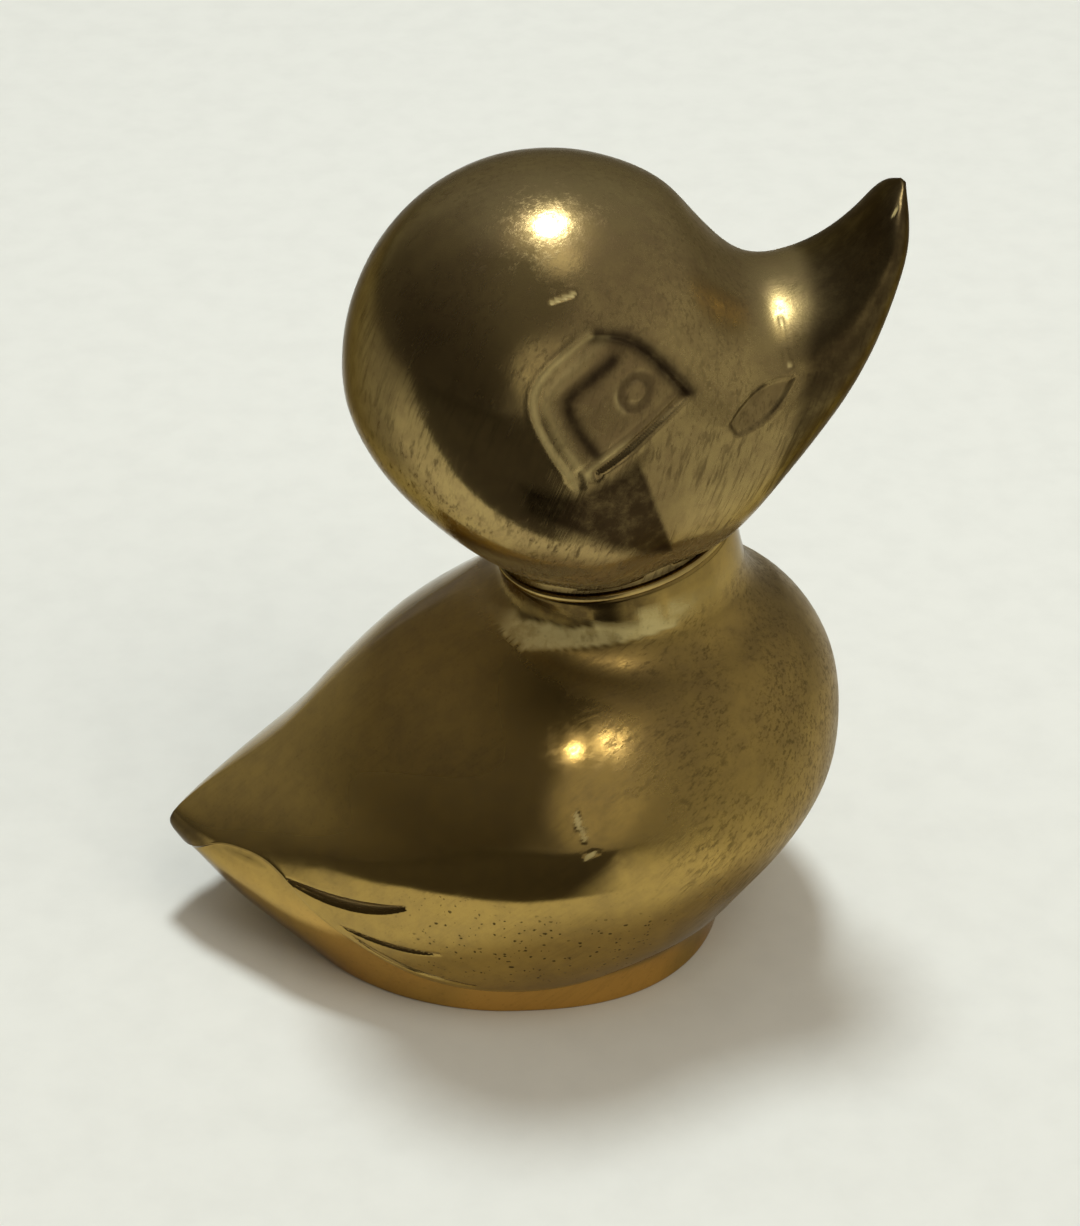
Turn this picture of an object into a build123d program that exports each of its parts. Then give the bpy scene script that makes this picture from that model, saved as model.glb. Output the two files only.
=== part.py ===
"""Brass duckling ornament: a hollow cast body and a hollow cast head held by a stud in the neck.

Millimetres. The duck faces +X, its left side is +Y and it stands on Z = 0.
X = 0 is halfway between the tail tip and the bill tip.
"""

import os
from math import cos, pi, radians, sin, sqrt

from build123d import *

os.makedirs("parts", exist_ok=True)

# Body casting, outside
TAIL_REACH = 39.0
BREAST_REACH = 34.9
BODY_HALF_WIDTH = 25.9
SHOULDER_HEIGHT = 45.0

# Stations of the body above the wing edge: height, tail, breast and half width as shares of
# the four sizes above, then how far the outline is drawn out to a point at the tail.
BODY_STATIONS = [
    (0.065, 0.80, 0.660, 0.820, 0.25),
    (0.13, 0.87, 0.705, 0.885, 0.40),
    (0.20, 0.956, 0.760, 0.938, 0.58),
    (0.262, 1.00, 0.812, 0.966, 0.68),
    (0.32, 0.960, 0.866, 0.983, 0.66),
    (0.40, 0.860, 0.936, 0.997, 0.55),
    (0.50, 0.715, 0.990, 0.990, 0.42),
    (0.60, 0.605, 1.000, 0.940, 0.33),
    (0.70, 0.505, 0.985, 0.860, 0.28),
    (0.80, 0.385, 0.932, 0.745, 0.24),
    (0.90, 0.225, 0.826, 0.570, 0.20),
    (0.96, 0.080, 0.690, 0.410, 0.10),
    (1.00, -0.085, 0.510, 0.276, 0.0),
]

# Foot band and tail underside, set in below the wing edge
FOOT_TAIL_REACH = 25.9
FOOT_FRONT_REACH = 22.8
FOOT_HALF_WIDTH = 20.6
FOOT_POINT = 0.05
FOOT_BLUNT = 0.80
WING_STEP = 1.2
TAIL_INSET = 0.2

# Lower edge of the wing from the tail tip to the breast: distance forward and height
WING_EDGE = [
    (-39.5, 9.3),
    (-37.6, 9.9),
    (-34.6, 12.6),
    (-31.0, 14.1),
    (-28.0, 14.1),
    (-23.0, 10.9),
    (-18.8, 8.5),
    (-12.9, 5.6),
    (-6.5, 4.2),
    (3.2, 4.4),
    (11.0, 6.0),
    (24.0, 7.0),
    (40.0, 7.0),
]

# Feather lines of the wing: ends, middle and width, seen from the side
FEATHER_LINES = [
    ((-25.8, 13.6), (-19.0, 13.1), (-13.4, 15.3), 1.1),
    ((-20.3, 10.4), (-14.5, 9.7), (-9.8, 10.2), 0.5),
    ((-18.8, 9.4), (-13.0, 6.6), (-5.9, 5.1), 0.5),
]
FEATHER_DEPTH = 0.6

# Neck of the body, leaning back towards the tail, its top face above the shoulder
NECK_LEAN = 14.0
NECK_X = 9.86
NECK_RISE = 4.1
NECK_RADIUS = 12.75
NECK_ROOT = 12.0
NECK_FILLET = 2.8

# Head casting, outside: its centre along the neck from the top face and behind the neck axis
HEAD_RISE = 21.4
HEAD_SETBACK = 2.0
HEAD_RADIUS = 21.3

# Skull above and below its middle, as shares of the round: more at the crown, less at the nape,
# more at the chin
SKULL_LIFT = 0.04
SKULL_CROWN = 0.015
SKULL_DROP = 0.02
SKULL_TUCK = 0.27
SKULL_CHIN = 0.25

# Skull sections: angle from the back of the head, then how full the underside is, 1 for a plain
# oval and less where it is squarer
SKULL_SECTIONS = [
    (2, 1.0),
    (8, 1.0),
    (20, 1.0),
    (36, 0.97),
    (54, 0.88),
    (72, 0.76),
    (90, 0.68),
    (107, 0.66),
    (123, 0.66),
]

BILL_REACH = 34.9
BILL_RISE = 19.9

# Bill stations: forward share of the reach, upward share of the rise, tilt of the section, then
# its height above and below the middle and its half width as shares of the head radius, and how
# full its underside is.
BILL_STATIONS = [
    (0.430, -0.040, 3.0, 0.787, 0.870, 0.765, 0.70),
    (0.590, -0.060, 6.0, 0.575, 0.590, 0.655, 0.85),
    (0.740, 0.130, 12.0, 0.395, 0.400, 0.560, 1.0),
    (0.865, 0.400, 24.0, 0.250, 0.240, 0.465, 1.0),
    (0.945, 0.680, 32.0, 0.155, 0.155, 0.350, 1.0),
    (0.988, 0.900, 36.0, 0.080, 0.080, 0.200, 1.0),
    (1.000, 1.000, 36.0, 0.020, 0.020, 0.050, 1.0),
]

# Eye field seen from the side, from the head centre: its rounded edge, then the two corners
# that its straight lower edge joins
EYE_EDGE = [(1.1, -1.6), (-2.9, 5.1), (-2.4, 9.7), (2.3, 13.2), (7.4, 11.7), (12.6, 6.0)]
EYE_DEPTH = 0.7
PUPIL_X = 7.3
PUPIL_Z = 7.5
PUPIL_RADIUS = 2.0
PUPIL_DOT_RADIUS = 1.0
PUPIL_DEPTH = 0.4

# Nostril seen from the side, from the head centre: squared behind, pointed in front
NOSTRIL_BACK = (17.0, 0.3)
NOSTRIL_FRONT = (23.6, 3.6)
NOSTRIL_WIDTH = 3.0
NOSTRIL_BACK_WIDTH = 1.6
NOSTRIL_DEPTH = 0.6

# Walls and cores
WALL = 3.0
ROOF = 4.5
FOOT_RIM = 4.0
CAVITY_TAIL_REACH = 24.0
CAVITY_POINT = 0.2

# Neck joint
RING_THICKNESS = 0.8
RING_PROUD = 0.25
CORE_HOLE_RADIUS = 8.0
PLUG_LENGTH = 5.0
SPIGOT_RADIUS = 7.0
SPIGOT_LENGTH = 5.0
BORE_DEPTH = 5.0
NECK_FLOOR = 4.0
SEAT_RADIUS = 8.0
SEAT_DEPTH = 14.0
STUD_RADIUS = 2.5
STUD_LENGTH = 25.0
STUD_TIP_CHAMFER = 0.4
WASHER_RADIUS = 5.5
WASHER_THICKNESS = 1.0
SPRING_RADIUS = 4.6
SPRING_THICKNESS = 1.2
SPRING_SLIT = 0.8
NUT_ACROSS_FLATS = 8.0
NUT_THICKNESS = 4.0
LOCK_NUT_THICKNESS = 2.7
NUT_CHAMFER = 0.5

# Clearances of the neck joint
RUNNING_FIT = 0.05
PRESS_GAP = 0.02
THREAD_GAP = 0.02
STUD_HOLE_GAP = 0.3
PLAY = 0.05

OUTLINE_POINTS = 24
THROUGH = 60.0

lean_sin = sin(radians(NECK_LEAN))
lean_cos = cos(radians(NECK_LEAN))
neck_axis = Vector(-lean_sin, 0, lean_cos)
neck_forward = Vector(lean_cos, 0, lean_sin)
neck_top = Vector(NECK_X, 0, SHOULDER_HEIGHT + NECK_RISE)

# Heights along the neck axis, from the top face of the body's neck
stub_base = RING_THICKNESS + PLAY
stud_top = stub_base + PLUG_LENGTH
floor_under = -BORE_DEPTH - NECK_FLOOR
spring_top = floor_under - WASHER_THICKNESS - PLAY
nut_top = spring_top - SPRING_THICKNESS
lock_nut_top = nut_top - NUT_THICKNESS

head_centre = neck_top + neck_axis * HEAD_RISE - neck_forward * HEAD_SETBACK
side_plane = Plane(origin=head_centre, x_dir=(1, 0, 0), z_dir=(0, -1, 0))
along_neck = Plane(origin=neck_top, x_dir=neck_forward, z_dir=(0, -1, 0))


def teardrop(tail, breast, half_width, point, blunt):
    """Points of a closed outline, round or blunt at the breast and drawn out towards the tail."""
    middle = (breast - tail) / 2
    half_length = (breast + tail) / 2
    peak = 2 / sqrt(point + 2) * ((point + 1) / (point + 2)) ** ((point + 1) / 2)
    points = []
    for step in range(OUTLINE_POINTS):
        turn = 2 * pi * step / OUTLINE_POINTS
        side = sin(turn) * abs(cos(turn / 2)) ** point / peak
        along = cos(turn) ** blunt if cos(turn) > 0 else cos(turn)
        points.append((middle + half_length * along, half_width * side))
    return points


def level_outline(height, tail, breast, half_width, point, blunt=1.0):
    """Face of a closed smooth outline at one height."""
    with BuildSketch(Plane.XY.offset(height)) as outline:
        with BuildLine():
            Spline(*teardrop(tail, breast, half_width, point, blunt), periodic=True)
        make_face()
    return outline.sketch


def body_outlines(inset):
    """Outlines of the body above the wing edge, moved in from the skin by the inset."""
    outlines = []
    for height, tail, breast, half_width, point in BODY_STATIONS:
        outlines.append(
            level_outline(
                SHOULDER_HEIGHT * height,
                TAIL_REACH * tail - inset,
                BREAST_REACH * breast - inset,
                BODY_HALF_WIDTH * half_width - inset,
                point,
            )
        )
    return outlines


def foot_outlines():
    """Outlines of the foot band and the tail underside, up to just above the wing edge."""
    foot = (FOOT_TAIL_REACH, FOOT_FRONT_REACH, FOOT_HALF_WIDTH, FOOT_POINT, FOOT_BLUNT)
    outlines = [level_outline(0, *foot)]
    for height, tail, breast, half_width, point in BODY_STATIONS[1:5]:
        outlines.append(
            level_outline(
                SHOULDER_HEIGHT * height,
                TAIL_REACH * tail - TAIL_INSET,
                BREAST_REACH * breast - TAIL_INSET,
                BODY_HALF_WIDTH * half_width - WING_STEP,
                point,
            )
        )
    return outlines


def cavity_outlines():
    """Outlines of the hollow inside the body, open at the foot and closed under the shoulder."""
    foot = (FOOT_TAIL_REACH - FOOT_RIM, FOOT_FRONT_REACH - FOOT_RIM, FOOT_HALF_WIDTH - FOOT_RIM)
    outlines = [level_outline(height, *foot, FOOT_POINT) for height in (-FOOT_RIM, 0)]
    lowered = (SHOULDER_HEIGHT - ROOF) / SHOULDER_HEIGHT
    for height, tail, breast, half_width, point in BODY_STATIONS[1:]:
        outlines.append(
            level_outline(
                SHOULDER_HEIGHT * height * lowered,
                min(TAIL_REACH * tail - WALL, CAVITY_TAIL_REACH),
                BREAST_REACH * breast - WALL,
                BODY_HALF_WIDTH * half_width - WING_STEP - WALL,
                min(point, CAVITY_POINT),
            )
        )
    return outlines


def oval(forward, up, tilt, above, below, half_width, full):
    """Face of an egg-shaped outline across the head, set forward and up from the head centre."""
    turn = radians(tilt)
    centre = head_centre + Vector(forward, 0, up)
    plane = Plane(origin=centre, x_dir=(0, 1, 0), z_dir=(cos(turn), 0, sin(turn)))
    points = []
    for step in range(OUTLINE_POINTS):
        angle = 2 * pi * step / OUTLINE_POINTS
        height = above * cos(angle) if cos(angle) > 0 else -below * abs(cos(angle)) ** full
        points.append((half_width * sin(angle), height))
    with BuildSketch(plane) as section:
        with BuildLine():
            Spline(*points, periodic=True)
        make_face()
    return section.sketch


def head_ovals(inset):
    """Sections of the head from the back of the skull to the bill tip, shrunk in by the inset."""
    size = 1 - inset / HEAD_RADIUS
    radius = HEAD_RADIUS * size
    sections = []
    for angle, full in SKULL_SECTIONS:
        turn = radians(angle)
        back = max(cos(turn), 0)
        front = max(-cos(turn), 0)
        reach = radius * sin(turn)
        above = reach * (1 + SKULL_LIFT + SKULL_CROWN * back)
        below = reach * (1 + SKULL_DROP - SKULL_TUCK * back + SKULL_CHIN * front)
        sections.append(oval(-radius * cos(turn), 0, 0, above, below, reach, full))
    for forward, up, tilt, above, below, half_width, full in BILL_STATIONS:
        sections.append(
            oval(
                BILL_REACH * size * forward,
                BILL_RISE * size * up,
                tilt,
                radius * above,
                radius * below,
                radius * half_width,
                full,
            )
        )
    return sections


def neck_plane(height):
    """Plane across the neck, at a height along it from the top face of the body's neck."""
    return Plane(origin=neck_top + neck_axis * height, x_dir=neck_forward, z_dir=neck_axis)


# Feather lines cut into both sides of the wing
with BuildPart() as wing_lines:
    for back, middle, front, width in FEATHER_LINES:
        with BuildSketch(Plane.XZ):
            with BuildLine():
                ThreePointArc(back, (middle[0], middle[1] - width / 2), front)
                ThreePointArc(front, (middle[0], middle[1] + width / 2), back)
            make_face()
        extrude(amount=THROUGH, both=True)
    loft(body_outlines(FEATHER_DEPTH), mode=Mode.SUBTRACT)

# Body casting
with BuildPart() as body:
    loft(body_outlines(0))
    with BuildSketch(Plane.XZ):
        with BuildLine():
            edge = Spline(*WING_EDGE)
            Polyline(edge @ 1, (WING_EDGE[-1][0], -THROUGH), (WING_EDGE[0][0], -THROUGH), edge @ 0)
        make_face()
    extrude(amount=THROUGH, both=True, mode=Mode.SUBTRACT)
    loft(foot_outlines())
    with BuildSketch(neck_plane(0)):
        Circle(NECK_RADIUS)
    extrude(amount=-NECK_ROOT)
    curved_edges = body.edges(Select.LAST).filter_by(GeomType.BSPLINE)
    neck_seam = curved_edges.filter_by_position(Axis.Z, neck_top.Z - NECK_ROOT, neck_top.Z)
    fillet(neck_seam, NECK_FILLET)
    add(wing_lines.part, mode=Mode.SUBTRACT)
    loft(cavity_outlines(), mode=Mode.SUBTRACT)
    with BuildSketch(neck_plane(0)):
        Circle(SPIGOT_RADIUS + RUNNING_FIT)
    extrude(amount=-BORE_DEPTH, mode=Mode.SUBTRACT)
    with BuildSketch(neck_plane(0)):
        Circle(STUD_RADIUS + STUD_HOLE_GAP)
    extrude(amount=floor_under, mode=Mode.SUBTRACT)
    with BuildSketch(neck_plane(floor_under)):
        Circle(SEAT_RADIUS)
    extrude(amount=-SEAT_DEPTH, mode=Mode.SUBTRACT)

# Eye fields, pupil rings and nostrils cut into both sides of the head
with BuildPart() as eyes:
    with BuildSketch(side_plane):
        with BuildLine():
            rim = Spline(*EYE_EDGE)
            Line(rim @ 1, rim @ 0)
        make_face()
    extrude(amount=THROUGH, both=True)
    loft(head_ovals(EYE_DEPTH), mode=Mode.SUBTRACT)

with BuildPart() as pupils:
    with BuildSketch(side_plane):
        with Locations((PUPIL_X, PUPIL_Z)):
            Circle(PUPIL_RADIUS)
            Circle(PUPIL_DOT_RADIUS, mode=Mode.SUBTRACT)
    extrude(amount=THROUGH, both=True)
    loft(head_ovals(EYE_DEPTH + PUPIL_DEPTH), mode=Mode.SUBTRACT)

with BuildPart() as nostrils:
    with BuildSketch(side_plane):
        with BuildLine():
            spine = Line(NOSTRIL_BACK, NOSTRIL_FRONT, mode=Mode.PRIVATE)
            across = (spine % 0.5).rotate(Axis.Z, 90)
            bow = across * (NOSTRIL_WIDTH / 2)
            corner = across * (NOSTRIL_BACK_WIDTH / 2)
            ThreePointArc(spine @ 0 + corner, spine @ 0.5 + bow, spine @ 1)
            ThreePointArc(spine @ 1, spine @ 0.5 - bow, spine @ 0 - corner)
            Line(spine @ 0 - corner, spine @ 0 + corner)
        make_face()
    extrude(amount=THROUGH, both=True)
    loft(head_ovals(NOSTRIL_DEPTH), mode=Mode.SUBTRACT)

# Head casting
with BuildPart() as head:
    loft(head_ovals(0))
    with BuildSketch(neck_plane(stub_base)):
        Circle(NECK_RADIUS)
    extrude(amount=HEAD_RISE - stub_base)
    split(bisect_by=neck_plane(stub_base), keep=Keep.TOP)
    add(eyes.part, mode=Mode.SUBTRACT)
    add(pupils.part, mode=Mode.SUBTRACT)
    add(nostrils.part, mode=Mode.SUBTRACT)
    with Locations(head_centre):
        Sphere(HEAD_RADIUS - WALL, mode=Mode.SUBTRACT)
    with BuildSketch(neck_plane(stub_base)):
        Circle(CORE_HOLE_RADIUS)
    extrude(amount=HEAD_RISE - stub_base, mode=Mode.SUBTRACT)

# Ring in the neck seam
with BuildPart() as ring:
    with BuildSketch(neck_plane(0)):
        Circle(NECK_RADIUS + RING_PROUD)
        Circle(SPIGOT_RADIUS + RUNNING_FIT, mode=Mode.SUBTRACT)
    extrude(amount=RING_THICKNESS)

# Plug that closes the core hole of the head, with the spigot that turns in the neck
with BuildPart() as plug:
    with BuildSketch(neck_plane(stub_base)):
        Circle(CORE_HOLE_RADIUS - PRESS_GAP)
    extrude(amount=PLUG_LENGTH)
    with BuildSketch(neck_plane(stub_base)):
        Circle(SPIGOT_RADIUS)
    extrude(amount=-SPIGOT_LENGTH)
    with BuildSketch(neck_plane(stud_top)):
        Circle(STUD_RADIUS + THREAD_GAP)
    extrude(amount=-THROUGH, mode=Mode.SUBTRACT)

with BuildPart() as stud:
    with BuildSketch(neck_plane(stud_top)):
        Circle(STUD_RADIUS)
    extrude(amount=-STUD_LENGTH)
    chamfer(stud.edges().filter_by(GeomType.CIRCLE), STUD_TIP_CHAMFER)

with BuildPart() as washer:
    with BuildSketch(neck_plane(floor_under)):
        Circle(WASHER_RADIUS)
        Circle(STUD_RADIUS + STUD_HOLE_GAP, mode=Mode.SUBTRACT)
    extrude(amount=-WASHER_THICKNESS)

with BuildPart() as spring:
    with BuildSketch(neck_plane(spring_top)):
        Circle(SPRING_RADIUS)
        Circle(STUD_RADIUS + STUD_HOLE_GAP, mode=Mode.SUBTRACT)
        with Locations((SPRING_RADIUS, 0)):
            Rectangle(2 * SPRING_RADIUS, SPRING_SLIT, mode=Mode.SUBTRACT)
    extrude(amount=-SPRING_THICKNESS)


def hexagon_nut(top, thickness):
    """Hexagon nut on the stud, with its corners chamfered on both faces."""
    corner = NUT_ACROSS_FLATS / sqrt(3)
    with BuildPart() as nut:
        with BuildSketch(neck_plane(top)):
            RegularPolygon(NUT_ACROSS_FLATS / 2, 6, major_radius=False)
            Circle(STUD_RADIUS + THREAD_GAP, mode=Mode.SUBTRACT)
        extrude(amount=-thickness)
        with BuildSketch(along_neck):
            with BuildLine():
                Polyline(
                    (0, top),
                    (corner - NUT_CHAMFER, top),
                    (corner, top - NUT_CHAMFER),
                    (corner, top - thickness + NUT_CHAMFER),
                    (corner - NUT_CHAMFER, top - thickness),
                    (0, top - thickness),
                    close=True,
                )
            make_face()
        revolve(axis=Axis(neck_top, neck_axis), mode=Mode.INTERSECT)
    return nut.part


pieces = {
    "body_casting": body.part,
    "head_casting": head.part,
    "neck_ring": ring.part,
    "neck_plug": plug.part,
    "neck_stud": stud.part,
    "flat_washer": washer.part,
    "spring_washer": spring.part,
    "stud_nut": hexagon_nut(nut_top, NUT_THICKNESS),
    "lock_nut": hexagon_nut(lock_nut_top, LOCK_NUT_THICKNESS),
}
for name, piece in pieces.items():
    piece.label = name
    export_step(piece, f"parts/{name}.step")
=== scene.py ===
from math import cos, pi, radians, sin, sqrt

import bpy
import numpy as np
from mathutils import Matrix, Vector


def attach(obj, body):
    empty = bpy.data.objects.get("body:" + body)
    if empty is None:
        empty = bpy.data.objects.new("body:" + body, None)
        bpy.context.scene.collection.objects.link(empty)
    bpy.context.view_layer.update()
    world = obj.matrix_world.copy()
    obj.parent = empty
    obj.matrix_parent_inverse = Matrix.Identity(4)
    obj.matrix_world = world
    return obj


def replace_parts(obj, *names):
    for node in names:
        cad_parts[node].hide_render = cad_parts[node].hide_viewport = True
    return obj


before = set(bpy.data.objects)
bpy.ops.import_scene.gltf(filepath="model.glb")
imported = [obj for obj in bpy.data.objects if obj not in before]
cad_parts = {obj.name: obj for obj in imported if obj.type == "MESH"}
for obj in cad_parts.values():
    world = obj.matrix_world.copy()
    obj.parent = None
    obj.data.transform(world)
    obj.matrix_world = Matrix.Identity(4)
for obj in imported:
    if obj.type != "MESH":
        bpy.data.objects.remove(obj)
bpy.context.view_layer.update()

MM = 0.001

# Sizes of the two castings in millimetres, the same as those of the solids
TAIL_REACH = 39.0
BREAST_REACH = 34.9
BODY_HALF_WIDTH = 25.9
SHOULDER_HEIGHT = 45.0
# Height, tail, breast and half width as shares of the sizes above, then the point of the tail
BODY_STATIONS = np.array([
    (0.065, 0.80, 0.660, 0.820, 0.25),
    (0.13, 0.87, 0.705, 0.885, 0.40),
    (0.20, 0.956, 0.760, 0.938, 0.58),
    (0.262, 1.00, 0.812, 0.966, 0.68),
    (0.32, 0.960, 0.866, 0.983, 0.66),
    (0.40, 0.860, 0.936, 0.997, 0.55),
    (0.50, 0.715, 0.990, 0.990, 0.42),
    (0.60, 0.605, 1.000, 0.940, 0.33),
    (0.70, 0.505, 0.985, 0.860, 0.28),
    (0.80, 0.385, 0.932, 0.745, 0.24),
    (0.90, 0.225, 0.826, 0.570, 0.20),
    (0.96, 0.080, 0.690, 0.410, 0.10),
    (1.00, -0.085, 0.510, 0.276, 0.0),
])
FOOT = (25.9, 22.8, 20.6, 0.05, 0.80)
FOOT_RIM = 4.0
WING_STEP = 1.2
TAIL_INSET = 0.2
WALL = 3.0
ROOF = 4.5
CAVITY_TAIL_REACH = 24.0
CAVITY_POINT = 0.2
# Lower edge of the wing from the tail tip to the breast: distance forward and height
WING_EDGE = np.array([
    (-39.5, 9.3), (-37.6, 9.9), (-34.6, 12.6), (-31.0, 14.1), (-28.0, 14.1), (-23.0, 10.9), (-18.8, 8.5),
    (-12.9, 5.6), (-6.5, 4.2), (3.2, 4.4), (11.0, 6.0), (24.0, 7.0), (40.0, 7.0),
])
# Feather lines: back, middle, front, width and depth
FEATHER_LINES = [
    ((-25.8, 13.6), (-19.2, 13.7), (-13.4, 15.3), 1.15, 0.55),
    ((-20.3, 10.4), (-14.5, 9.7), (-9.8, 10.2), 0.6, 0.4),
    ((-18.8, 9.4), (-13.0, 6.6), (-5.9, 5.1), 0.6, 0.35),
]
NECK_LEAN = radians(14.0)
NECK_TOP = np.array([9.86, 0.0, 49.1])
NECK_AXIS = np.array([-sin(NECK_LEAN), 0.0, cos(NECK_LEAN)])
NECK_FORWARD = np.array([cos(NECK_LEAN), 0.0, sin(NECK_LEAN)])
NECK_RADIUS = 12.75
RING_RADIUS = 13.0
FLARE_SPREAD = 3.0
FLARE_RISE = 3.0
BORE_RADIUS = 7.05
BORE_DEPTH = 5.0
FLOOR_UNDER = -9.0
STUD_HOLE_RADIUS = 2.8
SEAT_RADIUS = 8.0
# Fine relief and finish of the body
FOOT_EDGE = 0.35
LIP_HALF = 0.3
HOLLOW_HALF = 1.4
LIP_BEAD = 0.10
TAIL_SWELL = 0.45
FEATHER_FULL = 0.5
BODY_UNEVEN = 0.022
COLLAR_FOOT = -5.5
COLLAR_TOP = -3.4
COLLAR_BEAD = 0.10
COLLAR_SIDE = radians(-107)
# Side of the neck facing the front, painted dark as shade
PAINTED_SHADE_NECK_SIDE = radians(-112)
# Middle and spread of patches on both sides: rubbed and buffed wear, and painted shade under the collar
RUBBED_SHOULDER = (3.5, 15.5, 40.5), 5.5
SHADED_SHOULDER = (5.5, 14.3, 40.8), 4.0
BUFFED_FLANK = (6.3, 19.6, 34.9), 5.5

HEAD_RISE = 21.4
HEAD_SETBACK = 2.0
HEAD_RADIUS = 21.3
SKULL_LIFT = 0.04
SKULL_CROWN = 0.015
SKULL_DROP = 0.02
SKULL_TUCK = 0.27
SKULL_CHIN = 0.25
STUB_BASE = 0.85
CORE_HOLE_RADIUS = 8.0
BILL_REACH = 34.9
BILL_RISE = 19.9
# Angles of the skull sections from the back, each with how full its underside is
SKULL_SECTIONS = [
    (0, 1.0), (8, 1.0), (20, 1.0), (36, 0.97), (54, 0.88), (72, 0.76), (90, 0.68), (107, 0.66), (123, 0.66)
]
# Forward and upward shares, tilt, shares for rise, drop and half width, then the fullness below
BILL_STATIONS = [
    (0.430, -0.040, 3.0, 0.787, 0.870, 0.765, 0.70),
    (0.590, -0.060, 6.0, 0.575, 0.590, 0.655, 0.85),
    (0.740, 0.130, 12.0, 0.395, 0.400, 0.560, 1.0),
    (0.865, 0.400, 24.0, 0.250, 0.240, 0.465, 1.0),
    (0.945, 0.680, 32.0, 0.155, 0.155, 0.350, 1.0),
    (0.988, 0.900, 36.0, 0.080, 0.080, 0.200, 1.0),
    (1.000, 1.000, 36.0, 0.020, 0.020, 0.050, 1.0),
]
HEAD_CENTRE = NECK_TOP + NECK_AXIS * HEAD_RISE - NECK_FORWARD * HEAD_SETBACK
EYE_EDGE = np.array([(1.1, -1.6), (-2.9, 5.1), (-2.4, 9.7), (2.3, 13.2), (7.4, 11.7), (12.6, 6.0)])
EYE_DEPTH = 0.7
PUPIL = np.array([7.3, 7.5])
PUPIL_RADIUS = 2.1
PUPIL_DOT_RADIUS = 0.9
PUPIL_DEPTH = 0.30
CHEEK_LINE = np.array([(6.8, 1.5), (11.3, -12.2)])
CHEEK_RISE = 0.75
CHEEK_BEHIND = 4.0
CHEEK_AHEAD = 2.4
# Side of the cheek painted darker as shade, up to the ridge
SHADED_CHEEK = np.array([
    (-4.5, -1.0), (1.0, -2.0), (9.5, 2.5), (14.5, -11.0), (11.0, -12.6), (7.5, -11.2), (3.8, -9.0),
    (-0.5, -6.6), (-4.0, -4.6),
])
NOSTRIL_BACK = np.array([16.9, 0.9])
NOSTRIL_FRONT = np.array([23.3, 4.7])
NOSTRIL_WIDTH = 3.0
NOSTRIL_BACK_WIDTH = 1.6
NOSTRIL_DEPTH = 0.38
SIDE_START = 5.0
HEAD_UNEVEN = 0.02


def smooth(value, low=0.0, high=1.0):
    """Smooth step from 0 at low to 1 at high."""
    share = np.clip((value - low) / (high - low), 0.0, 1.0)
    return share * share * (3.0 - 2.0 * share)


def hump(value, middle, width):
    """Rounded rise to 1 at the middle, falling away over the width on each side."""
    return np.exp(-(((value - middle) / width) ** 2))


def curve_through(knots, values, at):
    """Natural cubic curve through the values at the knots, read at any places."""
    knots = np.asarray(knots, float)
    values = np.asarray(values, float)
    count = len(knots)
    gap = np.diff(knots)
    slope = np.diff(values, axis=0) / (gap[:, None] if values.ndim > 1 else gap)
    system = np.eye(count)
    right = np.zeros_like(values)
    for i in range(1, count - 1):
        system[i, i - 1:i + 2] = gap[i - 1], 2 * (gap[i - 1] + gap[i]), gap[i]
        right[i] = 6 * (slope[i] - slope[i - 1])
    bend = np.linalg.solve(system, right)
    at = np.asarray(at, float)
    i = np.clip(np.searchsorted(knots, at) - 1, 0, count - 2)
    span = gap[i]
    a = (knots[i + 1] - at) / span
    b = 1 - a
    if values.ndim > 1:
        a, b, span = a[..., None], b[..., None], span[..., None]
    return a * values[i] + b * values[i + 1] + ((a**3 - a) * bend[i] + (b**3 - b) * bend[i + 1]) * span**2 / 6


def teardrop(turn, sizes):
    """Outline place at a turn angle, round or blunt at the breast and drawn out to the tail."""
    tail, breast, half_width, point, blunt = np.moveaxis(sizes, -1, 0)
    peak = 2 / np.sqrt(point + 2) * ((point + 1) / (point + 2)) ** ((point + 1) / 2)
    ahead = np.cos(turn)
    along = np.where(ahead > 0, np.abs(ahead) ** blunt, ahead)
    side = np.sin(turn) * np.abs(np.cos(turn / 2)) ** point / peak
    return (breast - tail) / 2 + (breast + tail) / 2 * along, half_width * side


def placed(turn, height, sizes):
    """Points of an outline at a height."""
    x, y = teardrop(turn, sizes)
    return np.stack([x, y, height + 0 * x], -1)


def wing_skin(turn, height):
    """Points of the body above the wing edge."""
    shares = curve_through(BODY_STATIONS[:, 0], BODY_STATIONS[:, 1:], height / SHOULDER_HEIGHT)
    sizes = np.stack([
        TAIL_REACH * shares[..., 0],
        BREAST_REACH * shares[..., 1],
        BODY_HALF_WIDTH * shares[..., 2],
        np.maximum(shares[..., 3], 0),
        np.ones_like(height),
    ], -1)
    return placed(turn, height, sizes)


def set_in(stations, ends, sides, longest=TAIL_REACH, sharpest=1.0):
    """Sizes at stations of the body, set in from its skin at the ends and the sides."""
    return [
        (
            min(TAIL_REACH * tail - ends, longest),
            BREAST_REACH * breast - ends,
            BODY_HALF_WIDTH * half_width - sides,
            min(point, sharpest),
            1,
        )
        for _, tail, breast, half_width, point in stations
    ]


FOOT_KNOTS = np.concatenate([[0.0], BODY_STATIONS[1:5, 0] * SHOULDER_HEIGHT])
FOOT_SIZES = np.array([FOOT] + set_in(BODY_STATIONS[1:5], TAIL_INSET, WING_STEP))


def foot_skin(turn, height):
    """Points of the foot band and the tail underside, below the wing edge."""
    return placed(turn, height, curve_through(FOOT_KNOTS, FOOT_SIZES, height))


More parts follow.
